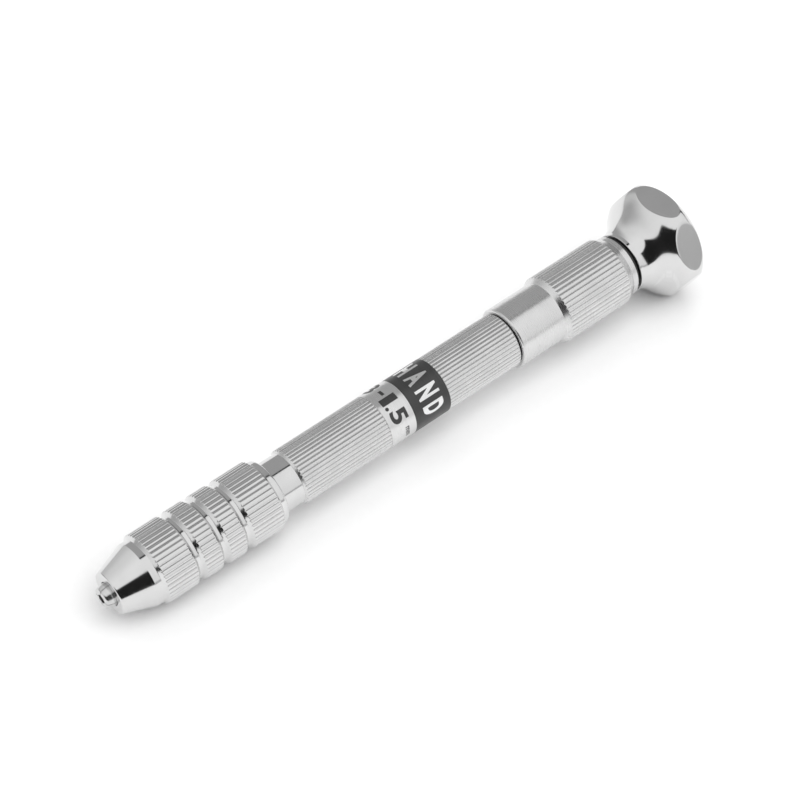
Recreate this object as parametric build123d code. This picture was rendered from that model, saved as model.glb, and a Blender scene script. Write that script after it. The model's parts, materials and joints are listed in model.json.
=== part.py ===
"""Pin vise drill: a knurled hand chuck with a double-ended collet, a hollow handle that stores a
spare collet, and a six-sided palm head that swivels on a spindle.

Millimetres. The origin is the centre of the collet's mouth, +X runs along the tool's axis from the
mouth to the palm head, and one of the head's six flats faces straight down (-Z).
Every thread is a plain cylinder at its major radius, with running clearance in the part it screws into.
"""
from build123d import *
import os
from math import asin, cos, radians, sin, tan

# ---------------------------------------------------------------- driving dimensions
# overall stations along the axis
NOSE_FACE_X = 1.45          # front face of the chuck sleeve, behind the collet's mouth
CHUCK_END_X = 31.20         # rear end of the chuck sleeve's skirt
HANDLE_X = 34.90            # front end of the knurled handle tube
LABEL_X = (51.80, 63.75)    # the printed band round the handle
HANDLE_KNURL_END_X = 78.58
REAR_SLEEVE_X = 78.70       # front edge of the rear sleeve
REAR_SLEEVE_END_X = 103.54
HEAD_X = 104.30             # front face of the palm head's collar
TOOL_END_X = 116.40         # crown of the palm head

# outside radii
CHUCK_R = 6.00              # knurl crests of the chuck sleeve and of the rear sleeve
CHUCK_WAIST_R = 5.42        # turned collar, ring grooves and shoulder of the chuck sleeve
NOSE_R = 3.50               # rim of the chuck sleeve's front face
NECK_R = 4.38               # smooth neck between chuck and handle
HANDLE_R = 4.75             # knurl crests of the handle, flush with the label
REAR_PLAIN_R = 5.31         # smooth front half of the rear sleeve
REAR_RING_R = 5.34          # plain ring at the rear sleeve's back end
HEAD_R = 10.03              # palm head's round rim, between the flats
HEAD_FLAT_R = 8.95          # axis to each flat of the palm head
HEAD_COLLAR_R = 5.28

# knurling: straight V grooves
KNURL_DEPTH = 0.15
KNURL_WIDTH = 0.24
CHUCK_GROOVES = 44
HANDLE_GROOVES = 43
REAR_GROOVES = 44
CUT_OVER = 0.10             # how far a groove cutter stands above the crests

# ring grooves that divide the chuck's knurl into four grips
RING_FIRST_X = 14.40
RING_PITCH = 4.50
RING_TOP = 1.70
RING_FLOOR = 0.55
RING_COUNT = 3

# threads, as plain cylinders
FRONT_THREAD_R = 4.00
REAR_THREAD_R = 4.25
THREAD_CLEARANCE = 0.05

# collet
COLLET_LENGTH = 24.00
COLLET_BARREL_R = 2.75
COLLET_TIP_R = (1.95, 2.00)     # front end, rear end
COLLET_TIP_LENGTH = 2.80
COLLET_MOUTH_R = 1.62           # the front tip tapers down to this
COLLET_TAPER_LENGTH = 1.05
COLLET_BORE_R = (0.75, 1.20)    # what each end grips when relaxed
COLLET_JAW_BORE = 9.00          # length of each gripping bore
COLLET_RELIEF_R = 1.60
COLLET_SLIT = (0.10, 0.30)      # closed in the chuck, relaxed in the store
COLLET_SLIT_LENGTH = 10.40
COLLET_CONE = 20.0              # half angle of the closing cones, degrees
COLLET_GAP = 0.10               # between the collet and what it sits in
MOUTH_ROUND = 0.45

# swivel
SPINDLE_R = 1.50
SPINDLE_X = (93.00, 110.50)
CLIP_GROOVE_X = (93.50, 94.05)
CLIP_GROOVE_R = 1.10
BUSH_R = 2.60
BUSH_X = (94.60, 103.30)
SWIVEL_CLEARANCE = 0.05

# spare collet's store, bored from the handle's rear end
STORE_X = 66.00
STORE_R = 3.00
HANDLE_END_X = 87.60
SHANK_BORE_R = 1.70         # clearance for a drill's shank, through the handle
INSERT_R = 3.60             # part of the chuck body pressed into the handle
INSERT_END_X = 46.00


# ---------------------------------------------------------------- helpers
def lathe(*edges):
    """Solid of revolution about X from the edges of a closed outline in (x, radius)."""
    return revolve(make_face(Curve() + list(edges)), Axis.X)


def turned(points):
    """Solid of revolution about X from the corners of an outline in (x, radius)."""
    return lathe(Polyline(*points, close=True))


def rod(x0, x1, radius):
    """Plain cylinder along X."""
    return turned([(x0, 0), (x1, 0), (x1, radius), (x0, radius)])


def knurl_grooves(x0, x1, radius, count):
    """V groove cutters round a cylinder, one on the +Z line and the rest evenly spaced."""
    top = radius + CUT_OVER
    half_width = KNURL_WIDTH / 2 * (KNURL_DEPTH + CUT_OVER) / KNURL_DEPTH
    section = Polyline((-half_width, top), (half_width, top), (0, radius - KNURL_DEPTH), close=True)
    cutter = extrude(Plane.YZ * make_face(section), x1 - x0)
    return [Rot(X=360 * i / count) * Pos(x0, 0, 0) * cutter for i in range(count)]


# ---------------------------------------------------------------- chuck
def chuck_sleeve():
    """Knurled nut whose nose cone closes the collet's jaws."""
    skirt_round = 0.85
    skirt_rim_r = CHUCK_WAIST_R - skirt_round
    ring_walls = []
    for i in range(RING_COUNT):
        middle = RING_FIRST_X + i * RING_PITCH
        ring_walls += [
            (middle - RING_TOP / 2, CHUCK_R),
            (middle - RING_FLOOR / 2, CHUCK_WAIST_R),
            (middle + RING_FLOOR / 2, CHUCK_WAIST_R),
            (middle + RING_TOP / 2, CHUCK_R),
        ]
    shoulder = (CHUCK_END_X - skirt_round, CHUCK_WAIST_R)
    rim = (CHUCK_END_X, skirt_rim_r)
    half = skirt_round * sin(radians(45))
    front = Polyline(
        (CHUCK_END_X, 0), (NOSE_FACE_X, 0),
        (NOSE_FACE_X, NOSE_R), (NOSE_FACE_X + 0.10, NOSE_R + 0.07),
        (6.70, CHUCK_WAIST_R), (7.80, CHUCK_WAIST_R), (8.35, CHUCK_R),
        *ring_walls,
        (29.65, CHUCK_R), (30.10, CHUCK_WAIST_R), shoulder,
    )
    arc = ThreePointArc(shoulder, (shoulder[0] + half, skirt_rim_r + half), rim)
    sleeve = lathe(front, arc, Line(rim, (CHUCK_END_X, 0)))
    sleeve -= knurl_grooves(7.90, 30.05, CHUCK_R, CHUCK_GROOVES)

    cone_start = NOSE_FACE_X + 0.85
    bore_r = COLLET_BARREL_R + COLLET_GAP + 0.05
    nose_r = COLLET_TIP_R[0] + COLLET_GAP
    cone_end = cone_start + (bore_r - nose_r) / tan(radians(COLLET_CONE))
    thread_r = FRONT_THREAD_R + THREAD_CLEARANCE
    skirt_r = NECK_R + 0.07
    return sleeve - turned([
        (NOSE_FACE_X - 1, 0), (NOSE_FACE_X - 1, nose_r), (cone_start, nose_r), (cone_end, bore_r),
        (12.60, bore_r), (12.60, thread_r), (27.60, thread_r), (27.60, skirt_r),
        (CHUCK_END_X + 1, skirt_r), (CHUCK_END_X + 1, 0),
    ])


def collet(start_x, slit_width):
    """Double-ended collet: four sprung jaws at each end of one steel barrel."""
    front_r, rear_r = COLLET_TIP_R
    run = tan(radians(COLLET_CONE))
    front_cone = (COLLET_BARREL_R - front_r) / run
    rear_cone = (COLLET_BARREL_R - rear_r) / run
    end = COLLET_LENGTH
    body = turned([
        (0, 0), (0, COLLET_MOUTH_R), (COLLET_TAPER_LENGTH, front_r), (COLLET_TIP_LENGTH, front_r),
        (COLLET_TIP_LENGTH + front_cone, COLLET_BARREL_R),
        (end - COLLET_TIP_LENGTH - rear_cone, COLLET_BARREL_R),
        (end - COLLET_TIP_LENGTH, rear_r), (end, rear_r), (end, 0),
    ])
    mouths = body.edges().filter_by(GeomType.CIRCLE).sort_by(Axis.X)
    body = fillet([mouths[0], mouths[-1]], MOUTH_ROUND)
    body -= turned([
        (-1, 0), (-1, COLLET_BORE_R[0]), (COLLET_JAW_BORE, COLLET_BORE_R[0]),
        (COLLET_JAW_BORE + 0.8, COLLET_RELIEF_R), (end - COLLET_JAW_BORE - 0.4, COLLET_RELIEF_R),
        (end - COLLET_JAW_BORE, COLLET_BORE_R[1]), (end + 1, COLLET_BORE_R[1]), (end + 1, 0),
    ])
    slit_span = 2 * COLLET_BARREL_R + 1
    slit = Box(COLLET_SLIT_LENGTH, slit_width, slit_span)
    for turn in (0, 90):
        body -= Rot(X=turn) * Pos(COLLET_SLIT_LENGTH / 2, 0, 0) * slit
        body -= Rot(X=turn + 45) * Pos(end - COLLET_SLIT_LENGTH / 2, 0, 0) * slit
    return Pos(start_x, 0, 0) * body


def chuck_body():
    """Threaded nose of the handle: carries the chuck sleeve and seats the collet's rear cone."""
    outside = turned([
        (13.20, 0), (13.20, FRONT_THREAD_R - 0.4), (13.60, FRONT_THREAD_R),
        (26.80, FRONT_THREAD_R), (26.80, FRONT_THREAD_R - 0.5), (28.00, FRONT_THREAD_R - 0.5),
        (28.00, NECK_R - 0.2), (28.20, NECK_R), (HANDLE_X, NECK_R), (HANDLE_X, INSERT_R),
        (INSERT_END_X - 0.3, INSERT_R), (INSERT_END_X, INSERT_R - 0.3), (INSERT_END_X, 0),
    ])
    barrel_r = COLLET_BARREL_R + COLLET_GAP
    tip_r = COLLET_TIP_R[1] + COLLET_GAP
    tip_start = COLLET_LENGTH - COLLET_TIP_LENGTH + COLLET_GAP
    cone_start = tip_start - (barrel_r - tip_r) / tan(radians(COLLET_CONE))
    seat_end = COLLET_LENGTH + 1.0
    return outside - turned([
        (12, 0), (12, barrel_r), (cone_start, barrel_r), (tip_start, tip_r), (seat_end, tip_r),
        (seat_end, SHANK_BORE_R), (INSERT_END_X + 1, SHANK_BORE_R), (INSERT_END_X + 1, 0),
    ])


# ---------------------------------------------------------------- handle
def handle_tube():
    """Knurled grip with the label's seat, the rear thread and the spare collet's store."""
    seat_r = HANDLE_R - 0.10
    tube = turned([
        (HANDLE_X, 0), (HANDLE_X, HANDLE_R - 0.37), (HANDLE_X + 0.45, HANDLE_R),
        (LABEL_X[0], HANDLE_R), (LABEL_X[0], seat_r), (LABEL_X[1], seat_r), (LABEL_X[1], HANDLE_R),
        (HANDLE_KNURL_END_X - 0.2, HANDLE_R), (HANDLE_KNURL_END_X, HANDLE_R - 0.2),
        (HANDLE_KNURL_END_X, REAR_THREAD_R - 0.4), (79.20, REAR_THREAD_R - 0.4),
        (79.60, REAR_THREAD_R), (HANDLE_END_X - 0.4, REAR_THREAD_R),
        (HANDLE_END_X, REAR_THREAD_R - 0.4), (HANDLE_END_X, 0),
    ])
    tube -= knurl_grooves(HANDLE_X - 0.1, LABEL_X[0], HANDLE_R, HANDLE_GROOVES)
    tube -= knurl_grooves(LABEL_X[1], HANDLE_KNURL_END_X + 0.1, HANDLE_R, HANDLE_GROOVES)
    front_socket = rod(HANDLE_X - 1, INSERT_END_X + 0.5, INSERT_R)
    store = rod(STORE_X, HANDLE_END_X + 1, STORE_R)
    return tube - front_socket - store - rod(HANDLE_X, STORE_X + 1, SHANK_BORE_R)


def label_band():
    """Thin printed sleeve, flush with the knurl's crests."""
    inner = HANDLE_R - 0.09
    return rod(LABEL_X[0] + 0.02, LABEL_X[1] - 0.02, HANDLE_R) - rod(LABEL_X[0], LABEL_X[1], inner)


def rear_sleeve():
    """Cap that screws on the handle's rear end, closes the store and carries the swivel."""
    edge = 0.35
    front = Polyline(
        (REAR_SLEEVE_END_X, 0), (REAR_SLEEVE_X, 0), (REAR_SLEEVE_X, REAR_PLAIN_R - edge),
    )
    middle = edge * (1 - cos(radians(45)))
    lip = ThreePointArc(
        (REAR_SLEEVE_X, REAR_PLAIN_R - edge),
        (REAR_SLEEVE_X + middle, REAR_PLAIN_R - middle),
        (REAR_SLEEVE_X + edge, REAR_PLAIN_R),
    )
    back = Polyline(
        (REAR_SLEEVE_X + edge, REAR_PLAIN_R), (87.60, REAR_PLAIN_R), (87.75, REAR_PLAIN_R + 0.10),
        (88.50, CHUCK_R), (101.10, CHUCK_R), (102.50, REAR_RING_R),
        (REAR_SLEEVE_END_X - 0.15, REAR_RING_R), (REAR_SLEEVE_END_X, REAR_RING_R - 0.15),
        (REAR_SLEEVE_END_X, 0),
    )
    sleeve = lathe(front, lip, back)
    sleeve -= knurl_grooves(87.90, 102.30, CHUCK_R, REAR_GROOVES)
    thread_r = REAR_THREAD_R + THREAD_CLEARANCE
    return sleeve - turned([
        (REAR_SLEEVE_X - 1, 0), (REAR_SLEEVE_X - 1, thread_r), (89.60, thread_r), (89.60, 3.40),
        (BUSH_X[0], 3.40), (BUSH_X[0], BUSH_R), (REAR_SLEEVE_END_X + 1, BUSH_R),
        (REAR_SLEEVE_END_X + 1, 0),
    ])


# ---------------------------------------------------------------- swivel
def pivot_bush():
    """Bronze bush pressed into the rear sleeve."""
    return rod(*BUSH_X, BUSH_R) - rod(BUSH_X[0] - 1, BUSH_X[1] + 1, SPINDLE_R + SWIVEL_CLEARANCE)


def pivot_spindle():
    """Steel pin pressed into the palm head, grooved for its clip."""
    return turned([
        (SPINDLE_X[0], 0), (SPINDLE_X[0], SPINDLE_R - 0.3), (SPINDLE_X[0] + 0.3, SPINDLE_R),
        (CLIP_GROOVE_X[0], SPINDLE_R), (CLIP_GROOVE_X[0], CLIP_GROOVE_R),
        (CLIP_GROOVE_X[1], CLIP_GROOVE_R), (CLIP_GROOVE_X[1], SPINDLE_R),
        (SPINDLE_X[1] - 0.3, SPINDLE_R), (SPINDLE_X[1], SPINDLE_R - 0.3), (SPINDLE_X[1], 0),
    ])


def retaining_clip():
    """E-clip that keeps the spindle in its bush: a ring with three inner lugs, open on one side."""
    x0 = CLIP_GROOVE_X[0] + 0.03
    x1 = CLIP_GROOVE_X[1] - 0.03
    outer_r = 2.75
    clip = rod(x0, x1, outer_r) - rod(x0 - 1, x1 + 1, 1.95)
    lug = Pos((x0 + x1) / 2, 0, 1.60) * Box(x1 - x0, 0.9, 0.9)
    for turn in (90, 180, 270):
        clip += Rot(X=turn) * lug
    mouth = Pos((x0 + x1) / 2, 0, 2.5) * Box(2, 2.2, 3.0)
    return clip - mouth - rod(x0 - 1, x1 + 1, CLIP_GROOVE_R + 0.02)


def washer(x0, x1, inner_r, outer_r):
    """Flat ring with broken outer edges."""
    ring = rod(x0, x1, outer_r) - rod(x0 - 1, x1 + 1, inner_r)
    rims = ring.edges().filter_by(GeomType.CIRCLE).group_by(SortBy.RADIUS)[-1]
    return chamfer(rims, 0.08)


def palm_head():
    """Mushroom head with a flared neck, a rounded rim, six flats and a slightly crowned back."""
    collar = Polyline(
        (TOOL_END_X, 0), (HEAD_X, 0), (HEAD_X, HEAD_COLLAR_R - 0.10), (HEAD_X + 0.10, HEAD_COLLAR_R),
        (104.95, HEAD_COLLAR_R),
    )
    flare = ThreePointArc((104.95, HEAD_COLLAR_R), (107.10, 6.35), (108.90, 8.16))
    shoulder = ThreePointArc((108.90, 8.16), (110.40, 9.35), (112.30, HEAD_R))
    rim = ThreePointArc((112.30, HEAD_R), (114.20, 9.31), (115.50, 7.60))
    crown_rise = TOOL_END_X - 115.50
    crown_r = (7.60**2 + crown_rise**2) / (2 * crown_rise)
    half_angle = asin(7.60 / crown_r) / 2
    crown_middle = (TOOL_END_X - crown_r * (1 - cos(half_angle)), crown_r * sin(half_angle))
    crown = ThreePointArc((115.50, 7.60), crown_middle, (TOOL_END_X, 0))
    head = lathe(collar, flare, shoulder, rim, crown)
    block = Box(40, 40, 10)
    for i in range(6):
        head -= Rot(X=60 * i) * Pos(HEAD_X, 0, -(HEAD_FLAT_R + 5)) * block
    return head - rod(HEAD_X - 1, SPINDLE_X[1] + 0.3, SPINDLE_R)


# ---------------------------------------------------------------- the assembly
NODES = {
    "chuck_sleeve": chuck_sleeve(),
    "fitted_collet": collet(0, COLLET_SLIT[0]),
    "chuck_body": chuck_body(),
    "handle_tube": handle_tube(),
    "label_band": label_band(),
    "spare_collet": collet(STORE_X + 0.3, COLLET_SLIT[1]),
    "rear_sleeve": rear_sleeve(),
    "pivot_bush": pivot_bush(),
    "pivot_spindle": pivot_spindle(),
    "retaining_clip": retaining_clip(),
    "clip_washer": washer(94.12, 94.52, SPINDLE_R + 0.1, 2.90),
    "thrust_washer": washer(103.62, 104.22, SPINDLE_R + 0.1, 4.80),
    "palm_head": palm_head(),
}

os.makedirs("parts", exist_ok=True)
for name, solid in NODES.items():
    export_step(solid, f"parts/{name}.step")
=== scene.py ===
"""Looks of the pin vise drill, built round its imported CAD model.

Every shape is worked out in millimetres, in the CAD frame (X along the tool, from the collet's mouth
to the palm head, +Z up), and scaled to metres when its mesh is made. A turned piece is one closed
outline in (x, radius) swept round the axis. Angles round the axis run from +Z towards +Y.
"""
import json
from math import acos, asin, cos, hypot, pi, radians, sin, tan

import bmesh
import bpy
import numpy as np
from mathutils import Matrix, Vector


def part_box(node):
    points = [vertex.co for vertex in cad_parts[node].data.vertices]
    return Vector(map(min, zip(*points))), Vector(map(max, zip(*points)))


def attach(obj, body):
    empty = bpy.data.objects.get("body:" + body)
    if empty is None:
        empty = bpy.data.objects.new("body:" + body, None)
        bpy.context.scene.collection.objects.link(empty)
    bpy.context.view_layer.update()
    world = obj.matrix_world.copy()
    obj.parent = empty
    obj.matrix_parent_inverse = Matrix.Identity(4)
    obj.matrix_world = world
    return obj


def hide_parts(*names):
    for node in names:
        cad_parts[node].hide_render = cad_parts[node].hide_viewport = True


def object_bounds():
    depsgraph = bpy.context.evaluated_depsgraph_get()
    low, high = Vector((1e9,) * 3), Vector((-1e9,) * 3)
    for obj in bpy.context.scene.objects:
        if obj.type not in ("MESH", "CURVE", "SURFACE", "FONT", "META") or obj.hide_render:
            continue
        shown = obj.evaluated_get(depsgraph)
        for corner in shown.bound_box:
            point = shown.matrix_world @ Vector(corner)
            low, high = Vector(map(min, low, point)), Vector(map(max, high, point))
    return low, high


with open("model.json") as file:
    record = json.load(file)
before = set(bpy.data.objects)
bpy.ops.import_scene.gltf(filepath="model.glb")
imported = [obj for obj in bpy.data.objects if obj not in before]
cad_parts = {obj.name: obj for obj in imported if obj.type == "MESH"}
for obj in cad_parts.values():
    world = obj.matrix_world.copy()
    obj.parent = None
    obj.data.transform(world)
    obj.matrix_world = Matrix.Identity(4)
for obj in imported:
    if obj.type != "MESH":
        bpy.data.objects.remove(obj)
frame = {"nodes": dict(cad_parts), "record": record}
cad_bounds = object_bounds()

MM = 0.001


# ---------------------------------------------------------------- sizes, from the frame and by name
def ends(node):
    """First and last station of a CAD node along the tool's axis, in mm."""
    low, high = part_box(node)
    return low.x / MM, high.x / MM


def outer_radius(node):
    """Largest radius of a CAD node about the tool's axis, in mm."""
    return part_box(node)[1].z / MM


CHUCK_X, CHUCK_END_X = ends("chuck_sleeve")
CHUCK_R = 6.00
CHUCK_WAIST_R = 5.42
CHUCK_NOSE_R = 3.535
CHUCK_COLLAR_X = (6.70, 7.80)      # plain collar between the nose cone and the knurl
CHUCK_KNURL_X = (8.35, 29.65)
CHUCK_KNURL_FOOT_X = 30.10
CHUCK_THREAD_X = (12.60, 27.60)
CHUCK_SKIRT_ROUND = 0.85
CHUCK_SKIRT_BORE_R = 4.45
NECK_R = 4.38
NECK_THREAD_END_X = 26.80
NECK_FACE_X = 28.00
TENON_R = 3.59                     # the neck's tail, inside the handle
CORE_BORE_R = 1.70
HANDLE_X, HANDLE_END_X = ends("handle_tube")
HANDLE_R = outer_radius("label_band")
HANDLE_KNURL_END_X = 78.58
LABEL_X, LABEL_END_X = ends("label_band")
LABEL_BLACK_X = 56.71              # where the silver ground gives way to the black band
STORE_X, STORE_R = 66.00, 3.00     # the spare collet's chamber, open at the rear
REAR_X, REAR_END_X = ends("rear_sleeve")
REAR_R = CHUCK_R
REAR_PLAIN_R = 5.31
REAR_RING_R = 5.34
REAR_SHOULDER_X = (87.60, 88.50)   # from the plain half up to the knurl
REAR_KNURL_END_X = 101.10
REAR_RING_X = 102.50
REAR_THREAD_END_X = 89.60
HEAD_X, TOOL_END_X = ends("palm_head")
HEAD_R = 10.03
HEAD_FLAT_R = outer_radius("palm_head")
HEAD_COLLAR_R = 5.28
HEAD_FLATS = 6
HEAD_FLAT_FRONT_X = 109.80         # where the lowest flat begins

KNURL_DEPTH = 0.15
KNURL_WIDTH = 0.24
KNURL_FLOOR_WIDTH = 0.03
KNURL_SOFTNESS = 0.010
KNURL_CROWN = 0.065        # how much each rib is rounded across its width
CHUCK_GROOVES = 44
HANDLE_GROOVES = 43
REAR_GROOVES = 44

RING_FIRST_X = 14.40
RING_PITCH = 4.50
RING_TOP = 1.70
RING_FLOOR = 0.55
RING_COUNT = 3

THREAD_PITCH = 0.75
THREAD_DEPTH = 0.42
THREAD_SOFTNESS = 0.008
THREAD_CLEARANCE = 0.05
FRONT_THREAD_R = 4.00
REAR_THREAD_R = 4.25

COLLET_LENGTH = ends("fitted_collet")[1] - ends("fitted_collet")[0]
COLLET_BARREL_R = 2.75
COLLET_TIP_R = (1.95, 2.00)
COLLET_MOUTH_R = 1.62
COLLET_TAPER_LENGTH = 1.05
COLLET_TIP_LENGTH = 2.80
COLLET_JAW_BORE = 9.00
COLLET_RELIEF_R = 1.60
COLLET_BORE_R = (0.75, 1.20)
COLLET_CONE = radians(20)
SLIT_LENGTH = 10.40
SLIT_CLOSED = 0.10                 # in the chuck
SLIT_RELAXED = 0.30                # in the store

BODY_OF = {n: body for body, nodes in frame["record"]["behaviour"]["bodies"].items() for n in nodes}


# ---------------------------------------------------------------- outlines
def corner(before, point, after, radius, steps):
    """Points of the round that takes the place of a corner."""
    p = np.array(point)
    a = np.array(before) - p
    b = np.array(after) - p
    length_a, length_b = np.linalg.norm(a), np.linalg.norm(b)
    a /= length_a
    b /= length_b
    angle = acos(np.clip(a @ b, -1, 1))
    if radius <= 0 or angle > pi - 0.02:
        return [p]
    reach = min(radius / tan(angle / 2), 0.45 * length_a, 0.45 * length_b)
    radius = reach * tan(angle / 2)
    middle = p + (a + b) / np.linalg.norm(a + b) * hypot(reach, radius)
    start = p + a * reach - middle
    turn = pi - angle
    side = np.sign(start[0] * (p + b * reach - middle)[1] - start[1] * (p + b * reach - middle)[0])
    arc = []
    for i in range(steps + 1):
        t = side * turn * i / steps
        spun = np.array([start[0] * cos(t) - start[1] * sin(t), start[0] * sin(t) + start[1] * cos(t)])
        arc.append(middle + spun)
    return arc


def outline(points, rounding=0.05, steps=4, support=0.04):
    """Closed loop of (x, radius) from corners (x, radius[, rounding]), with a support point at each end
    of every straight stretch so that smooth shading stays on the rounds."""
    loop = []
    count = len(points)
    for i, point in enumerate(points):
        radius = point[2] if len(point) > 2 else rounding
        many = max(steps, int(radius * 14))
        loop.append(corner(points[i - 1][:2], point[:2], points[(i + 1) % count][:2], radius, many))
    stations = []
    for i, arc in enumerate(loop):
        stations += arc
        start, end = arc[-1], loop[(i + 1) % count][0]
        gap = np.linalg.norm(end - start)
        if gap > 4 * support:
            step = (end - start) / gap * support
            stations += [start + step, end - step]
    return np.array(stations)


def subdivided(stations, step, where):
    """The closed loop with extra points on each stretch for which where(start, end) holds."""
    dense = []
    for start, end in zip(stations, np.roll(stations, -1, axis=0)):
        parts = max(1, int(np.ceil(np.linalg.norm(end - start) / step))) if where(start, end) else 1
        dense += [start + (end - start) * i / parts for i in range(parts)]
    return np.array(dense)


def arc_through(a, b, c, step):
    """Points of the arc from a to c by way of b, spaced about step apart, with c left out."""
    (ax, ay), (bx, by), (cx, cy) = a, b, c
    d = 2 * (ax * (by - cy) + bx * (cy - ay) + cx * (ay - by))
    a2, b2, c2 = ax * ax + ay * ay, bx * bx + by * by, cx * cx + cy * cy
    ux = (a2 * (by - cy) + b2 * (cy - ay) + c2 * (ay - by)) / d
    uy = (a2 * (cx - bx) + b2 * (ax - cx) + c2 * (bx - ax)) / d
    radius = hypot(ax - ux, ay - uy)
    first = np.arctan2(ay - uy, ax - ux)
    sweep = (np.arctan2(cy - uy, cx - ux) - first + pi) % (2 * pi) - pi
    parts = max(2, int(abs(sweep) * radius / step))
    angles = first + sweep * np.arange(parts) / parts
    return [(ux + radius * cos(t), uy + radius * sin(t)) for t in angles]


def smooth_through(points, step):
    """Points of a curve of even curvature through the given points, with the last left out."""
    p = np.array(points)
    count = len(p)
    gaps = np.linalg.norm(np.diff(p, axis=0), axis=1)
    system = np.eye(count)
    change = np.zeros((count, 2))
    for i in range(1, count - 1):
        system[i, i - 1:i + 2] = gaps[i - 1], 2 * (gaps[i - 1] + gaps[i]), gaps[i]
        change[i] = 6 * ((p[i + 1] - p[i]) / gaps[i] - (p[i] - p[i - 1]) / gaps[i - 1])
    bend = np.linalg.solve(system, change)
    curve = []
    for i, gap in enumerate(gaps):
        for t in np.linspace(0, 1, max(2, int(gap / step)), endpoint=False):
            u = 1 - t
            sag = ((u**3 - u) * bend[i] + (t**3 - t) * bend[i + 1]) * gap * gap / 6
            curve.append(tuple(u * p[i] + t * p[i + 1] + sag))
    return curve


# ---------------------------------------------------------------- surfaces round the axis
def soft_min(a, b, softness):
    """The smaller of a and b, blended over about softness where they meet."""
    return np.minimum(a, b) - softness * np.log1p(np.exp(-np.abs(a - b) / softness))


def knurl_columns(grooves, radius):
    """Angles of the columns that one knurl needs, and the depth of the knurl at each."""
    pitch = 2 * pi * radius / grooves
    half_groove = KNURL_WIDTH / 2
    half_pitch = pitch / 2
    flat = KNURL_FLOOR_WIDTH / 2
    across = [flat, 0.5 * half_groove, 0.85 * half_groove, half_groove, half_groove + 0.025]
    across += [half_groove + 0.07, 0.55 * half_groove + 0.45 * half_pitch]
    across = [-s for s in reversed(across)] + across + [half_pitch]
    angles, depths = [], []
    for i in range(grooves):
        for s in across:
            angles.append((i * pitch + s) / radius)
            rib = max(0.0, 1 - (abs(s) - half_groove) / (half_pitch - half_groove))
            crown = KNURL_CROWN * min(rib, 1.0) ** 2
            vee = max(0.0, (half_groove - max(abs(s), flat)) / half_groove)
            depths.append(crown + vee * (KNURL_DEPTH - KNURL_CROWN))
    return np.array(angles), np.array(depths)


def even_columns(count):
    return 2 * pi * np.arange(count) / count


def knurled(stations, columns, depths, crest, keep=lambda x, r: r > 0):
    """Radii of a turned surface with a straight knurl cut in whatever stands near its crest."""
    cut = crest - depths
    radii = np.repeat(stations[:, 1][:, None], len(columns), axis=1)
    for i, (x, r) in enumerate(stations):
        if keep(x, r):
            radii[i] = soft_min(r, cut, KNURL_SOFTNESS)
    return radii


def threaded(stations, columns, start, end, major):
    """Radii of a turned surface with a right-hand V thread on its major diameter from start to end."""
    radii = np.repeat(stations[:, 1][:, None], len(columns), axis=1)
    for i, (x, r) in enumerate(stations):
        if start <= x <= end and r > major - 0.5:
            phase = (x / THREAD_PITCH + columns / (2 * pi)) % 1.0
            vee = 1 - np.abs(2 * phase - 1)
            run_out = min(1.0, (x - start) / THREAD_PITCH, (end - x) / THREAD_PITCH)
            cut = major - THREAD_DEPTH * run_out * np.clip(1.25 * vee - 0.125, 0, 1)
            radii[i] = soft_min(r, cut, THREAD_SOFTNESS)
    return radii


def sweep(name, stations, columns, radii, groove=None, pole_ends=False):
    """Closed mesh of a turned piece: stations are (x, radius) round a closed loop, or from pole to pole."""
    rows, count = radii.shape
    x = np.repeat(stations[:, 0][:, None], count, axis=1)
    angles = columns if columns.ndim == 2 else np.repeat(columns[None, :], rows, axis=0)
    grid = np.stack([x, radii * np.sin(angles), radii * np.cos(angles)], axis=2).reshape(-1, 3)
    vertices = [tuple(v) for v in grid * MM]
    faces = []
    for i in range(rows if not pole_ends else rows - 1):
        here, there = i * count, (i + 1) % rows * count
        for j in range(count):
            k = (j + 1) % count
            faces.append((here + j, here + k, there + k, there + j))
    if pole_ends:
        for row, x_pole in ((0, stations[0, 0]), (rows - 1, stations[-1, 0])):
            pole = len(vertices)
            vertices.append((x_pole * MM, 0.0, 0.0))
            for j in range(count):
                edge = (row * count + j, row * count + (j + 1) % count)
                faces.append((pole, *(edge[::-1] if row == 0 else edge)))
    mesh = bpy.data.meshes.new(name)
    mesh.from_pydata(vertices, [], faces)
    if groove is not None:
        layer = mesh.attributes.new("groove", "FLOAT", "POINT")
        layer.data.foreach_set("value", groove.astype(np.float32).ravel())
    return settled(name, mesh)


def settled(name, mesh):
    """An object for a closed mesh, with its faces turned outwards and shaded smooth."""
    shape = bmesh.new()
    shape.from_mesh(mesh)
    bmesh.ops.recalc_face_normals(shape, faces=shape.faces)
    shape.to_mesh(mesh)
    shape.free()
    mesh.polygons.foreach_set("use_smooth", [True] * len(mesh.polygons))
    mesh.update()
    piece = bpy.data.objects.new(name, mesh)
    bpy.context.scene.collection.objects.link(piece)
    return piece


def place(piece, node, slot, *materials, stands_for=True):
    """Gives a piece its materials and its body, and lets it stand for its CAD node. The slot is not used."""
    for material in materials:
        piece.data.materials.append(material)
    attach(piece, BODY_OF[node])
    if stands_for:
        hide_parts(node)


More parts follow.
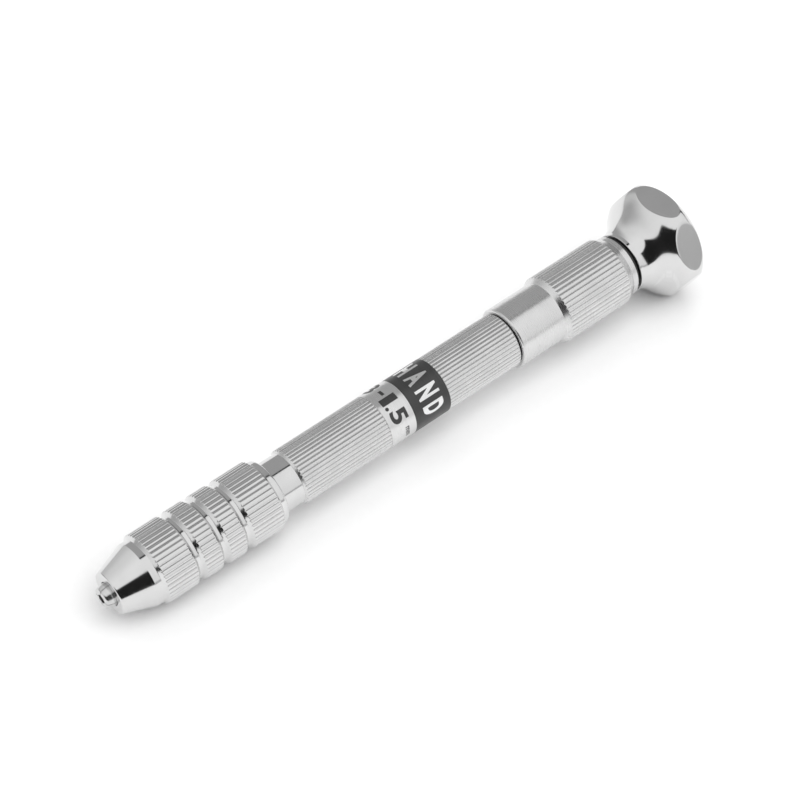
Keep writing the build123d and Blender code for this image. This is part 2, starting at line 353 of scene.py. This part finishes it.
# ---------------------------------------------------------------- materials
class Nodes:
    """A short way to write a node tree."""

    def __init__(self, name):
        self.material = bpy.data.materials.new(name)
        self.material.use_nodes = True
        self.tree = self.material.node_tree
        self.shader = self.tree.nodes["Principled BSDF"]

    def add(self, kind, settings=None, **inputs):
        node = self.tree.nodes.new(kind)
        for key, value in (settings or {}).items():
            setattr(node, key, value)
        for key, value in inputs.items():
            self.join(value, node.inputs[key.replace("_", " ")])
        return node

    def join(self, value, socket):
        if isinstance(value, bpy.types.NodeSocket):
            self.tree.links.new(value, socket)
        else:
            socket.default_value = value

    def stretched(self, scale):
        """Object coordinates scaled by a vector, in cells per metre."""
        where = self.add("ShaderNodeTexCoord").outputs["Object"]
        return self.add("ShaderNodeMapping", Vector=where, Scale=scale).outputs["Vector"]

    def noise(self, scale, detail=2.0, rough=0.5):
        made = self.add("ShaderNodeTexNoise", Vector=self.stretched(scale), Detail=detail, Roughness=rough)
        made.inputs["Scale"].default_value = 1.0
        return made.outputs["Fac"]

    def remap(self, value, low, high, new_low, new_high):
        made = self.add("ShaderNodeMapRange", Value=value)
        for key, number in (("From Min", low), ("From Max", high), ("To Min", new_low), ("To Max", new_high)):
            made.inputs[key].default_value = number
        return made.outputs["Result"]

    def math(self, operation, a, b):
        made = self.add("ShaderNodeMath", {"operation": operation})
        self.join(a, made.inputs[0])
        self.join(b, made.inputs[1])
        return made.outputs[0]

    def mix(self, share, a, b):
        made = self.add("ShaderNodeMix", {"data_type": "RGBA"})
        self.join(share, made.inputs[0])
        self.join(a, made.inputs[6])
        self.join(b, made.inputs[7])
        return made.outputs[2]

    def bump(self, height, distance, under=None):
        made = self.add("ShaderNodeBump", Height=height)
        made.inputs["Strength"].default_value = 1.0
        made.inputs["Distance"].default_value = distance
        if under is not None:
            self.join(under, made.inputs["Normal"])
        return made.outputs["Normal"]

    def finish(self, **inputs):
        for key, value in inputs.items():
            self.join(value, self.shader.inputs[key.replace("_", " ")])
        return self.material


def grey(level):
    return (level, level, level, 1.0)


def turned_metal(name, tint, shade, gloss, spread, marks, mark_depth, groove_shade=0.0):
    """Plated or bare metal off a lathe: fine rings round the axis, faint handling smudges, and edges
    that differ a little from the open surface. Given a share for it, the knurl's grooves get painted
    shade: their colour is darkened towards near-black by how deep they lie."""
    n = Nodes(name)
    clouds = n.noise((260, 260, 260), detail=3.0)
    rings = n.noise((marks, marks / 90, marks / 90), detail=3.0, rough=0.6)
    specks = n.noise((5200, 5200, 5200), detail=1.0)
    colour = n.mix(n.remap(clouds, 0.35, 0.65, 0.0, 1.0), tint, shade)
    worn = n.add("ShaderNodeNewGeometry").outputs["Pointiness"]
    edge = n.remap(worn, 0.52, 0.60, 0.0, 0.35)
    colour = n.mix(edge, colour, grey(0.82))
    # painted shade in the knurl's grooves: the colour is darkened towards near-black by the groove depth
    if groove_shade:
        depth = n.add("ShaderNodeAttribute", {"attribute_name": "groove"}).outputs["Fac"]
        colour = n.mix(n.math("MULTIPLY", depth, groove_shade), colour, grey(0.10))
    rough = n.remap(clouds, 0.3, 0.7, gloss, gloss + spread)
    rough = n.math("ADD", rough, n.remap(rings, 0.3, 0.7, 0.0, spread))
    rough = n.math("ADD", rough, n.remap(edge, 0.0, 0.35, 0.0, 0.03))
    normal = n.bump(rings, mark_depth)
    normal = n.bump(specks, mark_depth * 0.6, normal)
    return n.finish(Base_Color=colour, Metallic=1.0, Roughness=rough, Normal=normal)


def brushed_print(name, tint, shade, metallic, gloss):
    """Printed band: a brushed foil ground or satin ink, with a fine grain round the tube."""
    n = Nodes(name)
    brush = n.noise((9000, 160, 160), detail=3.0, rough=0.65)
    clouds = n.noise((420, 420, 420), detail=2.0)
    colour = n.mix(n.remap(brush, 0.3, 0.7, 0.0, 1.0), tint, shade)
    rough = n.math("ADD", n.remap(clouds, 0.3, 0.7, gloss, gloss + 0.06), n.remap(brush, 0.3, 0.7, 0.0, 0.05))
    return n.finish(Base_Color=colour, Metallic=metallic, Roughness=rough, Normal=n.bump(brush, 1.2e-6))


def gap_shade_plastic(name):
    """Moulded nylon with a fine matt grain, coloured near-black so that the gap between the rear cap and the
    palm head reads dark: painted shade in that gap.
    """
    n = Nodes(name)
    grain = n.noise((3000, 3000, 3000), detail=3.0)
    clouds = n.noise((300, 300, 300))
    colour = n.mix(clouds, grey(0.012), grey(0.028))
    rough = n.remap(grain, 0.3, 0.7, 0.45, 0.62)
    return n.finish(Base_Color=colour, Roughness=rough, Normal=n.bump(grain, 4e-6))


def floor_paper(name):
    """Pale studio paper."""
    n = Nodes(name)
    fibre = n.noise((900, 900, 900), detail=4.0)
    colour = n.mix(fibre, grey(0.90), grey(0.93))
    return n.finish(Base_Color=colour, Roughness=0.85, Normal=n.bump(fibre, 1e-5))


POLISHED = turned_metal("polished_plating", grey(0.70), grey(0.67), 0.07, 0.03, 4200, 2.0e-7)
# the two knurled metals: their grooves get painted shade
CHUCK_PLATE = turned_metal("polished_knurl", grey(0.70), grey(0.67), 0.08, 0.03, 4200, 2.0e-7, groove_shade=0.45)
SATIN_KNURL = turned_metal("satin_knurl", grey(0.70), grey(0.66), 0.24, 0.03, 5200, 1.0e-7, groove_shade=0.45)
COLLET_STEEL = turned_metal("collet_steel", grey(0.66), grey(0.60), 0.14, 0.05, 6000, 3.0e-7)
SPINDLE_STEEL = turned_metal("spindle_steel", grey(0.62), grey(0.55), 0.20, 0.05, 7000, 4.0e-7)
SPRING_STEEL = turned_metal("spring_steel", grey(0.30), grey(0.22), 0.28, 0.08, 3000, 5.0e-7)
BRONZE = turned_metal("bronze", (0.58, 0.36, 0.17, 1), (0.47, 0.28, 0.13, 1), 0.26, 0.08, 5000, 6.0e-7)
LABEL_SILVER = brushed_print("label_silver", grey(0.76), grey(0.66), 1.0, 0.24)
LABEL_BLACK = brushed_print("label_black", grey(0.022), grey(0.034), 0.0, 0.30)
INK_BLACK = brushed_print("ink_black", grey(0.020), grey(0.030), 0.0, 0.36)
INK_SILVER = brushed_print("ink_silver", grey(0.86), grey(0.78), 1.0, 0.26)
GAP_SHADE_WASHER = gap_shade_plastic("black_nylon")


# ---------------------------------------------------------------- pieces
def near_crest(crest, limit):
    """Picks the slanted stretches that cross a knurl, so that the grooves' ends come out clean."""
    def slanted(start, end):
        high = max(start[1], end[1]) > crest - KNURL_DEPTH - 0.12
        return high and abs(start[1] - end[1]) > 0.01 and min(start[1], end[1]) > limit
    return slanted


def groove_layer(stations, crest, depths):
    """How deep each point lies in the knurl, from 0 on the ribs to 1 in the V; the knurled metal darkens its
    grooves by it as painted shade.
    """
    vee = np.clip((depths - KNURL_CROWN) / (KNURL_DEPTH - KNURL_CROWN), 0, 1)
    near = np.clip((stations[:, 1] - (crest - KNURL_DEPTH)) / KNURL_DEPTH, 0, 1)
    return near[:, None] * vee[None, :] ** 0.8


def chuck_sleeve():
    """Knurled nut with three ring grooves and a polished nose cone."""
    rings = []
    for i in range(RING_COUNT):
        middle = RING_FIRST_X + i * RING_PITCH
        rings += [
            (middle - RING_TOP / 2, CHUCK_R, 0.10), (middle - RING_FLOOR / 2, CHUCK_WAIST_R, 0.06),
            (middle + RING_FLOOR / 2, CHUCK_WAIST_R, 0.06), (middle + RING_TOP / 2, CHUCK_R, 0.10),
        ]
    collar_x, collar_end_x = CHUCK_COLLAR_X
    knurl_x, knurl_end_x = CHUCK_KNURL_X
    thread_x, thread_end_x = CHUCK_THREAD_X
    thread_r = FRONT_THREAD_R + THREAD_CLEARANCE
    cone_x = CHUCK_X + 0.85
    bore_r = COLLET_BARREL_R + 0.15
    nose_bore_r = COLLET_TIP_R[0] + 0.10
    corners = [
        (CHUCK_X, nose_bore_r, 0.05), (CHUCK_X, CHUCK_NOSE_R, 0.28), (collar_x, CHUCK_WAIST_R, 0.10),
        (collar_end_x, CHUCK_WAIST_R, 0.05), (knurl_x, CHUCK_R, 0.10), *rings,
        (knurl_end_x, CHUCK_R, 0.10), (CHUCK_KNURL_FOOT_X, CHUCK_WAIST_R, 0.06),
        (CHUCK_END_X, CHUCK_WAIST_R, CHUCK_SKIRT_ROUND), (CHUCK_END_X, CHUCK_SKIRT_BORE_R, 0.05),
        (thread_end_x, CHUCK_SKIRT_BORE_R), (thread_end_x, thread_r), (thread_x, thread_r),
        (thread_x, bore_r), (cone_x + (bore_r - nose_bore_r) / tan(COLLET_CONE), bore_r),
        (cone_x, nose_bore_r),
    ]
    stations = subdivided(outline(corners), 0.06, near_crest(CHUCK_R, CHUCK_WAIST_R - 0.1))
    columns, depths = knurl_columns(CHUCK_GROOVES, CHUCK_R)
    radii = knurled(stations, columns, depths, CHUCK_R)
    groove = groove_layer(stations, CHUCK_R, depths)
    piece = sweep("chuck_nut", stations, columns, radii, groove)
    place(piece, "chuck_sleeve", "polished_plating", CHUCK_PLATE)


def chuck_body():
    """Threaded nose of the handle, with the polished neck between chuck and handle."""
    barrel_r = COLLET_BARREL_R + 0.10
    tip_r = COLLET_TIP_R[1] + 0.10
    seat_x = COLLET_LENGTH - COLLET_TIP_LENGTH + 0.10
    front_x, end_x = ends("chuck_body")
    undercut_r = FRONT_THREAD_R - 0.50
    corners = [
        (front_x, barrel_r), (front_x, FRONT_THREAD_R - 0.40), (front_x + 0.40, FRONT_THREAD_R),
        (NECK_THREAD_END_X, FRONT_THREAD_R), (NECK_THREAD_END_X, undercut_r),
        (NECK_FACE_X, undercut_r), (NECK_FACE_X, NECK_R, 0.20),
        (HANDLE_X, NECK_R, 0.02), (HANDLE_X, TENON_R), (end_x, TENON_R, 0.25), (end_x, CORE_BORE_R),
        (COLLET_LENGTH + 1, CORE_BORE_R), (COLLET_LENGTH + 1, tip_r), (seat_x, tip_r),
        (seat_x - (barrel_r - tip_r) / tan(COLLET_CONE), barrel_r),
    ]

    def on_thread(a, b):
        return min(a[1], b[1]) > undercut_r + 0.1 and max(a[0], b[0]) < NECK_THREAD_END_X + 0.05

    stations = subdivided(outline(corners), THREAD_PITCH / 10, on_thread)
    columns = even_columns(192)
    radii = threaded(stations, columns, front_x, NECK_THREAD_END_X, FRONT_THREAD_R)
    piece = sweep("threaded_neck", stations, columns, radii)
    place(piece, "chuck_body", "polished_plating", POLISHED)


def handle_tube():
    """Knurled grip with the label's seat, and the thread that the rear sleeve screws on."""
    seat_r = HANDLE_R - 0.10
    thread_x = 79.20
    undercut_r = REAR_THREAD_R - 0.45
    socket_x, socket_r = 46.50, 3.60
    corners = [
        (HANDLE_X, socket_r, 0.03), (HANDLE_X, HANDLE_R - 0.37, 0.04), (HANDLE_X + 0.45, HANDLE_R, 0.10),
        (LABEL_X - 0.02, HANDLE_R, 0.02), (LABEL_X - 0.02, seat_r, 0.01),
        (LABEL_END_X + 0.02, seat_r, 0.01), (LABEL_END_X + 0.02, HANDLE_R, 0.02),
        (HANDLE_KNURL_END_X - 0.20, HANDLE_R, 0.06), (HANDLE_KNURL_END_X, HANDLE_R - 0.20, 0.04),
        (HANDLE_KNURL_END_X, undercut_r), (thread_x, undercut_r),
        (thread_x + 0.40, REAR_THREAD_R), (HANDLE_END_X - 0.40, REAR_THREAD_R),
        (HANDLE_END_X, REAR_THREAD_R - 0.40), (HANDLE_END_X, STORE_R),
        (STORE_X, STORE_R), (STORE_X, CORE_BORE_R), (socket_x, CORE_BORE_R), (socket_x, socket_r),
    ]
    stations = outline(corners)
    stations = subdivided(stations, 0.06, near_crest(HANDLE_R, NECK_R - 0.1))

    def on_thread(a, b):
        return min(a[0], b[0]) > thread_x + 0.01 and min(a[1], b[1]) > REAR_THREAD_R - 0.50

    def on_grip(x, r):
        return r > seat_r + 0.005 or x < HANDLE_X + 0.46 and r > NECK_R - 0.02

    stations = subdivided(stations, THREAD_PITCH / 10, on_thread)
    columns, depths = knurl_columns(HANDLE_GROOVES, HANDLE_R)
    radii = threaded(stations, columns, thread_x, HANDLE_END_X, REAR_THREAD_R)
    knurl = knurled(stations, columns, depths, HANDLE_R, on_grip)
    radii = np.minimum(radii, knurl)
    groove = groove_layer(stations, HANDLE_R, depths)
    piece = sweep("grip_tube", stations, columns, radii, groove)
    place(piece, "handle_tube", "satin_plating", SATIN_KNURL)


def label_band():
    """Printed sleeve: a brushed silver ground and a black band."""
    inner = HANDLE_R - 0.09
    corners = [
        (LABEL_X, HANDLE_R, 0.03), (LABEL_BLACK_X, HANDLE_R, 0), (LABEL_END_X, HANDLE_R, 0.03),
        (LABEL_END_X, inner, 0.01), (LABEL_X, inner, 0.01),
    ]
    stations = outline(corners, support=0.02)
    columns = even_columns(256)
    radii = np.repeat(stations[:, 1][:, None], len(columns), axis=1)
    piece = sweep("label_sleeve", stations, columns, radii)
    place(piece, "label_band", "label_print", LABEL_SILVER, LABEL_BLACK)
    for face in piece.data.polygons:
        face.material_index = int(face.center.x / MM > LABEL_BLACK_X)


def rear_sleeve():
    """Cap with a plain front half, a knurled back half and a narrow plain ring."""
    shoulder_x, knurl_x = REAR_SHOULDER_X
    thread_r = REAR_THREAD_R + THREAD_CLEARANCE
    bush_x, bush_r = 94.60, 2.61
    clip_room_r = 3.40
    corners = [
        (REAR_X, thread_r, 0.04), (REAR_X, REAR_PLAIN_R, 0.35), (shoulder_x, REAR_PLAIN_R, 0.06),
        (shoulder_x + 0.15, REAR_PLAIN_R + 0.10, 0.05), (knurl_x, REAR_R, 0.12),
        (REAR_KNURL_END_X, REAR_R, 0.15), (REAR_RING_X, REAR_RING_R, 0.08),
        (REAR_END_X, REAR_RING_R, 0.14), (REAR_END_X, bush_r, 0.04), (bush_x, bush_r),
        (bush_x, clip_room_r), (REAR_THREAD_END_X, clip_room_r), (REAR_THREAD_END_X, thread_r),
    ]
    stations = subdivided(outline(corners), 0.06, near_crest(REAR_R, REAR_PLAIN_R))
    columns, depths = knurl_columns(REAR_GROOVES, REAR_R)
    radii = knurled(stations, columns, depths, REAR_R)
    groove = groove_layer(stations, REAR_R, depths)
    piece = sweep("rear_cap", stations, columns, radii, groove)
    place(piece, "rear_sleeve", "satin_plating", SATIN_KNURL)


def palm_head():
    """Mushroom head. Its columns follow the edges of the six flats, so that those come out clean."""
    flare_x, rim_x, crown_x = 104.95, 112.30, 115.50
    crown_edge_r = 7.60
    rise = TOOL_END_X - crown_x
    crown_r = (crown_edge_r**2 + rise**2) / (2 * rise)
    half = asin(crown_edge_r / crown_r) / 2
    crown_middle = (TOOL_END_X - crown_r * (1 - cos(half)), crown_r * sin(half))
    bore_r, bore_x = 1.51, 110.80
    fine = 0.05
    path = [(bore_x, 0.4), (bore_x, bore_r - 0.03), (bore_x - 0.03, bore_r), (HEAD_X + 0.04, bore_r)]
    path += [(HEAD_X + 0.01, bore_r + 0.01), (HEAD_X, bore_r + 0.04), (HEAD_X, HEAD_COLLAR_R - 0.14)]
    path += arc_through((HEAD_X, HEAD_COLLAR_R - 0.10), (HEAD_X + 0.03, HEAD_COLLAR_R - 0.03),
                        (HEAD_X + 0.10, HEAD_COLLAR_R), 0.03)
    path += [(x, HEAD_COLLAR_R) for x in (HEAD_X + 0.10, HEAD_X + 0.14, flare_x - 0.05)]
    path += smooth_through([(flare_x, HEAD_COLLAR_R), (106.00, 5.66), (107.10, 6.35), (108.90, 8.16),
                            (110.40, 9.35), (rim_x, HEAD_R), (114.20, 9.31), (crown_x, crown_edge_r)], fine)
    path += arc_through((crown_x, crown_edge_r), crown_middle, (TOOL_END_X, 0), 0.25)
    stations = np.array(path)
    sector = pi / HEAD_FLATS
    flat_share = np.array([0, 0.2, 0.4, 0.6, 0.75, 0.87, 0.95, 1.0])
    rim_share = np.array([0.04, 0.10, 0.2, 0.35, 0.5, 0.7, 0.85, 1.0])
    columns = []
    for x, r in stations:
        edge = max(acos(min(1.0, HEAD_FLAT_R / max(r, 0.1))), radians(5))
        part = np.concatenate([edge * flat_share, edge + (sector - edge) * rim_share])
        both = np.concatenate([-part[:0:-1], part[:-1]])
        columns.append(np.concatenate([both + 2 * sector * k for k in range(HEAD_FLATS)]))
    columns = np.array(columns)
    off_flat = (columns + sector) % (2 * sector) - sector
    radii = soft_min(stations[:, 1][:, None], HEAD_FLAT_R / np.cos(off_flat), 0.035)
    piece = sweep("palm_knob", stations, columns, radii, pole_ends=True)
    place(piece, "palm_head", "polished_plating", POLISHED)


def collet(name, node, slit):
    """Double-ended collet: four sprung jaws at each end, parted by saw cuts."""
    start, end = ends(node)
    front_r, rear_r = COLLET_TIP_R
    front_bore, rear_bore = COLLET_BORE_R
    front_cone = (COLLET_BARREL_R - front_r) / tan(COLLET_CONE)
    rear_cone = (COLLET_BARREL_R - rear_r) / tan(COLLET_CONE)
    corners = [
        (start, front_bore, 0.06), (start, COLLET_MOUTH_R, 0.45),
        (start + COLLET_TAPER_LENGTH, front_r, 0.25), (start + COLLET_TIP_LENGTH, front_r, 0.15),
        (start + COLLET_TIP_LENGTH + front_cone, COLLET_BARREL_R, 0.12),
        (end - COLLET_TIP_LENGTH - rear_cone, COLLET_BARREL_R, 0.12),
        (end - COLLET_TIP_LENGTH, rear_r, 0.15), (end, rear_r, 0.45), (end, rear_bore, 0.06),
        (end - COLLET_JAW_BORE, rear_bore), (end - COLLET_JAW_BORE - 0.4, COLLET_RELIEF_R),
        (start + COLLET_JAW_BORE + 0.8, COLLET_RELIEF_R), (start + COLLET_JAW_BORE, front_bore),
    ]
    stations = outline(corners, steps=5)
    columns = even_columns(128) + radians(0.7)
    radii = np.repeat(stations[:, 1][:, None], len(columns), axis=1)
    piece = sweep(name, stations, columns, radii)
    cuts = [(start - 1, start + SLIT_LENGTH, turn) for turn in (0, 90)]
    cuts += [(end - SLIT_LENGTH, end + 1, turn) for turn in (45, 135)]
    for x0, x1, turn in cuts:
        saw_cut(piece, x0, x1, slit, radians(turn))
    for edge in sharp_edges(piece.data, radians(35)):
        edge.use_edge_sharp = True
    place(piece, node, "collet_steel", COLLET_STEEL)


def saw_cut(piece, x0, x1, width, turn):
    """Cuts a slot along the axis right through a piece, with a thin box at the given angle."""
    reach = COLLET_BARREL_R + 0.5
    blade = bmesh.new()
    bmesh.ops.create_cube(blade, size=1.0)
    for vertex in blade.verts:
        x = (x0 + x1) / 2 + vertex.co.x * (x1 - x0)
        side, up = vertex.co.y * width, vertex.co.z * 2 * reach
        y = side * cos(turn) - up * sin(turn)
        z = side * sin(turn) + up * cos(turn)
        vertex.co = Vector((x, y, z)) * MM
    mesh = bpy.data.meshes.new("blade")
    blade.to_mesh(mesh)
    blade.free()
    tool = bpy.data.objects.new("blade", mesh)
    bpy.context.scene.collection.objects.link(tool)
    cut = piece.modifiers.new("saw_cut", "BOOLEAN")
    cut.operation = "DIFFERENCE"
    cut.solver = "EXACT"
    cut.object = tool
    shown = piece.evaluated_get(bpy.context.evaluated_depsgraph_get())
    made = bpy.data.meshes.new_from_object(shown)
    piece.modifiers.clear()
    piece.data = made
    made.name = piece.name
    bpy.data.objects.remove(tool)


def sharp_edges(mesh, limit):
    """Edges whose two faces meet at more than the limit."""
    faces_of = {}
    for face in mesh.polygons:
        for key in face.edge_keys:
            faces_of.setdefault(key, []).append(face.normal)
    for edge in mesh.edges:
        normals = faces_of.get(tuple(sorted(edge.vertices)), [])
        if len(normals) == 2 and normals[0].angle(normals[1], 0) > limit:
            yield edge


# ---------------------------------------------------------------- print on the label
def printed(name, text, x, angle, height, width, bold, material):
    """One character as a thin layer of ink on the label. It reads round the tube towards smaller angles,
    with its top towards the palm head."""
    ink_r = HANDLE_R + 0.003
    ink_depth = 0.012
    curve = bpy.data.curves.new(name, "FONT")
    curve.body = text
    curve.size = 1.0
    curve.extrude = 0.5
    curve.offset = bold
    curve.resolution_u = 6
    source = bpy.data.objects.new(name + "_source", curve)
    bpy.context.scene.collection.objects.link(source)
    bpy.context.view_layer.update()
    mesh = bpy.data.meshes.new_from_object(source.evaluated_get(bpy.context.evaluated_depsgraph_get()))
    bpy.data.objects.remove(source)
    shape = bmesh.new()
    shape.from_mesh(mesh)
    low = np.min([v.co[:2] for v in shape.verts], axis=0)
    size = np.max([v.co[:2] for v in shape.verts], axis=0) - low
    strips = 12
    for i in range(1, strips):
        cut_at = Vector((low[0] + size[0] * i / strips, 0, 0))
        parts = shape.verts[:] + shape.edges[:] + shape.faces[:]
        bmesh.ops.bisect_plane(shape, geom=parts, plane_co=cut_at, plane_no=(1, 0, 0))
    bmesh.ops.remove_doubles(shape, verts=shape.verts, dist=1e-5)
    for vertex in shape.verts:
        along = (vertex.co.x - low[0]) / size[0] - 0.5
        up = (vertex.co.y - low[1]) / size[1] - 0.5
        turn = angle - along * width / HANDLE_R
        r = ink_r + vertex.co.z * ink_depth
        vertex.co = Vector((x + up * height, r * sin(turn), r * cos(turn))) * MM
    shape.to_mesh(mesh)
    shape.free()
    piece = settled(name, mesh)
    mesh.polygons.foreach_set("use_smooth", [False] * len(mesh.polygons))
    place(piece, "label_band", "label_print", material, stands_for=False)


def lettering():
    """Generic words and sizes: the tool's kind on the black band, what the collet grips on the silver."""
    word = "HAND DRILL"
    word_pitch = radians(34.5)
    word_start = radians(-4.7) + word_pitch
    for i, letter in enumerate(word):
        if letter != " ":
            width = 0.55 if letter == "I" else 1.85
            turn = word_start - i * word_pitch
            printed(f"band_letter_{i}", letter, 60.40, turn, 3.95, width, 0.045, INK_SILVER)
    silver_x = 54.20
    marks = [
        ("0", 83.0, 3.00, 2.30), (".", 62.5, 0.62, 0.62), ("3", 42.0, 3.00, 2.20), ("-", 8.6, 0.55, 1.15),
        ("1", -12.5, 3.00, 1.30), (".", -27.5, 0.62, 0.62), ("5", -49.5, 3.00, 2.25),
    ]
    for i, (text, turn, height, width) in enumerate(marks):
        x = silver_x - 1.5 + height / 2 if text == "." else silver_x
        printed(f"size_mark_{i}", text, x, radians(turn), height, width, 0.03, INK_BLACK)
    for i in range(2):
        turn = radians(-84.0 - 13.0 * i)
        printed(f"unit_mark_{i}", "m", 54.90, turn, 0.75, 0.95, 0.02, INK_BLACK)


# ---------------------------------------------------------------- carried-over CAD nodes
def repaint(node, material):
    """Gives a CAD node that keeps its own shape a better material."""
    for slot in frame["nodes"][node].material_slots:
        slot.material = material


# ---------------------------------------------------------------- floor, light and camera
def floor():
    """Pale paper under the tool, which rests on the chuck's front edge and the head's lowest flat."""
    front = Vector((CHUCK_KNURL_X[0], 0, -CHUCK_R)) * MM
    back = Vector((HEAD_FLAT_FRONT_X, 0, -HEAD_FLAT_R)) * MM
    along = (back - front).normalized()
    size = 1.6
    clear_of_metal = 0.02 * MM
    centre = (front + back) / 2 - Vector((0, 0, clear_of_metal))
    mesh = bpy.data.meshes.new("floor")
    across = Vector((0, 1, 0))
    sides = ((-1, -1), (1, -1), (1, 1), (-1, 1))
    mesh.from_pydata([centre + along * size * a + across * size * b for a, b in sides], [], [(0, 1, 2, 3)])
    ground = bpy.data.objects.new("floor", mesh)
    bpy.context.scene.collection.objects.link(ground)
    mesh.materials.append(floor_paper("floor_paper"))


# light levels of the tent, in scene-linear units
FRONT_HIGH = 1.28
FRONT_LOW = 1.20
HORIZON = 0.65
BACK = 0.54
HORIZON_LEFT = 0.85
LEFT_LOW = 0.60
LEFT_HIGH = 1.05
DARK = 0.02
BELOW = 0.70

SOFTBOX_SIDE = 0.9                 # metres
KEY_WATTS = 4.0
FILL_WATTS = 2.0


def studio():
    """A light tent as a world. It is white in front and overhead, grey behind, paler on the left, and has
    a dark opening low in the left front. The camera itself sees plain white."""
    world = bpy.data.worlds.new("light_tent")
    bpy.context.scene.world = world
    world.use_nodes = True
    tree = world.node_tree
    tree.nodes.clear()

    def math(operation, a, b=0.0):
        made = tree.nodes.new("ShaderNodeMath")
        made.operation = operation
        for value, socket in ((a, made.inputs[0]), (b, made.inputs[1])):
            if isinstance(value, bpy.types.NodeSocket):
                tree.links.new(value, socket)
            else:
                socket.default_value = value
        return made.outputs[0]

    def step(value, low, high):
        """0 below low, 1 above high, smooth between."""
        made = tree.nodes.new("ShaderNodeMapRange")
        made.interpolation_type = "SMOOTHSTEP"
        tree.links.new(value, made.inputs["Value"])
        made.inputs["From Min"].default_value = low
        made.inputs["From Max"].default_value = high
        return made.outputs["Result"]

    def blend(share, a, b):
        """a where share is 0, b where it is 1."""
        return math("ADD", math("MULTIPLY", math("SUBTRACT", 1.0, share), a), math("MULTIPLY", share, b))

    def band(value, rise, full, fall, end):
        """1 between full and fall, 0 outside rise and end."""
        return math("MULTIPLY", step(value, rise, full), math("SUBTRACT", 1.0, step(value, fall, end)))

    where = tree.nodes.new("ShaderNodeTexCoord").outputs["Generated"]
    split = tree.nodes.new("ShaderNodeSeparateXYZ")
    tree.links.new(where, split.inputs[0])
    x, y, z = split.outputs
    left = math("MULTIPLY", x, -1.0)
    nearer = math("MULTIPLY", y, -1.0)

    # the white front, dimmer towards the horizon
    front = blend(step(z, 0.30, 0.75), FRONT_LOW, FRONT_HIGH)
    front = blend(step(z, 0.07, 0.12), HORIZON, front)

    # the far side: grey on the right, paler on the left and brighter towards the top there
    low_left = blend(step(left, 0.15, 0.45), HORIZON_LEFT, LEFT_LOW)
    left_wall = blend(step(z, 0.20, 0.70), low_left, LEFT_HIGH)
    far_side = blend(step(left, -0.15, 0.10), BACK, left_wall)

    # the front meets the far side at a sharp edge on the right and fades into it on the left
    is_left = step(left, -0.05, 0.05)
    is_far = blend(is_left, step(y, 0.13, 0.15), step(y, -0.10, 0.80))
    tent = blend(is_far, front, far_side)

    # the dark seam along the sharp edge
    seam = math("MULTIPLY", band(y, 0.06, 0.075, 0.16, 0.175), step(x, 0.05, 0.15))
    tent = blend(seam, tent, DARK)
    tent = blend(step(z, -0.02, 0.0), BELOW, tent)

    # the opening low in the left front
    in_front = step(math("SUBTRACT", nearer, math("MULTIPLY", left, 0.20)), 0.0, 0.03)
    opening = math("MULTIPLY", step(left, 0.12, 0.16), in_front)
    opening = math("MULTIPLY", opening, band(z, -0.02, 0.01, 0.70, 0.73))
    tent = blend(opening, tent, DARK)
    seen = tree.nodes.new("ShaderNodeLightPath").outputs["Is Camera Ray"]
    level = blend(seen, tent, 1.0)
    background = tree.nodes.new("ShaderNodeBackground")
    tree.links.new(level, background.inputs["Strength"])
    out = tree.nodes.new("ShaderNodeOutputWorld")
    tree.links.new(background.outputs[0], out.inputs[0])


def softbox(name, place_at, aim, size, power):
    """Large soft lamp that the metal doesn't mirror; the tent gives the reflections."""
    data = bpy.data.lights.new(name, "AREA")
    data.shape = "SQUARE"
    data.size = size
    data.energy = power
    lamp = bpy.data.objects.new(name, data)
    lamp.location = place_at
    lamp.rotation_euler = (Vector(aim) - Vector(place_at)).to_track_quat("-Z", "Y").to_euler()
    lamp.visible_glossy = False
    bpy.context.scene.collection.objects.link(lamp)


def camera():
    """Long lens, above and in front of the collet's end of the tool."""
    data = bpy.data.cameras.new("camera")
    data.sensor_width = 36.0
    data.lens = 111.13
    data.clip_start = 0.01
    data.clip_end = 20.0
    eye = bpy.data.objects.new("camera", data)
    eye.location = Vector((-98.65, -202.05, 290.72)) * MM
    eye.rotation_euler = (radians(41.3816), radians(1.8438), radians(-39.7566))
    bpy.context.scene.collection.objects.link(eye)
    bpy.context.scene.camera = eye


camera()
floor()
studio()
middle = (cad_bounds[0] + cad_bounds[1]) / 2
softbox("key_softbox", middle + Vector((0.10, -0.35, 0.75)), middle, SOFTBOX_SIDE, KEY_WATTS)
softbox("fill_softbox", middle + Vector((0.30, 0.55, 0.60)), middle, SOFTBOX_SIDE, FILL_WATTS)
bpy.context.scene.view_settings.view_transform = "Standard"

chuck_sleeve()
chuck_body()
handle_tube()
label_band()
lettering()
rear_sleeve()
palm_head()
collet("clamping_collet", "fitted_collet", SLIT_CLOSED)
collet("stored_collet", "spare_collet", SLIT_RELAXED)
repaint("pivot_bush", BRONZE)
repaint("pivot_spindle", SPINDLE_STEEL)
repaint("clip_washer", SPINDLE_STEEL)
repaint("retaining_clip", SPRING_STEEL)
# painted shade: the washer in the gap behind the rear cap is near-black, standing in for the shade in that
# gap
repaint("thrust_washer", GAP_SHADE_WASHER)
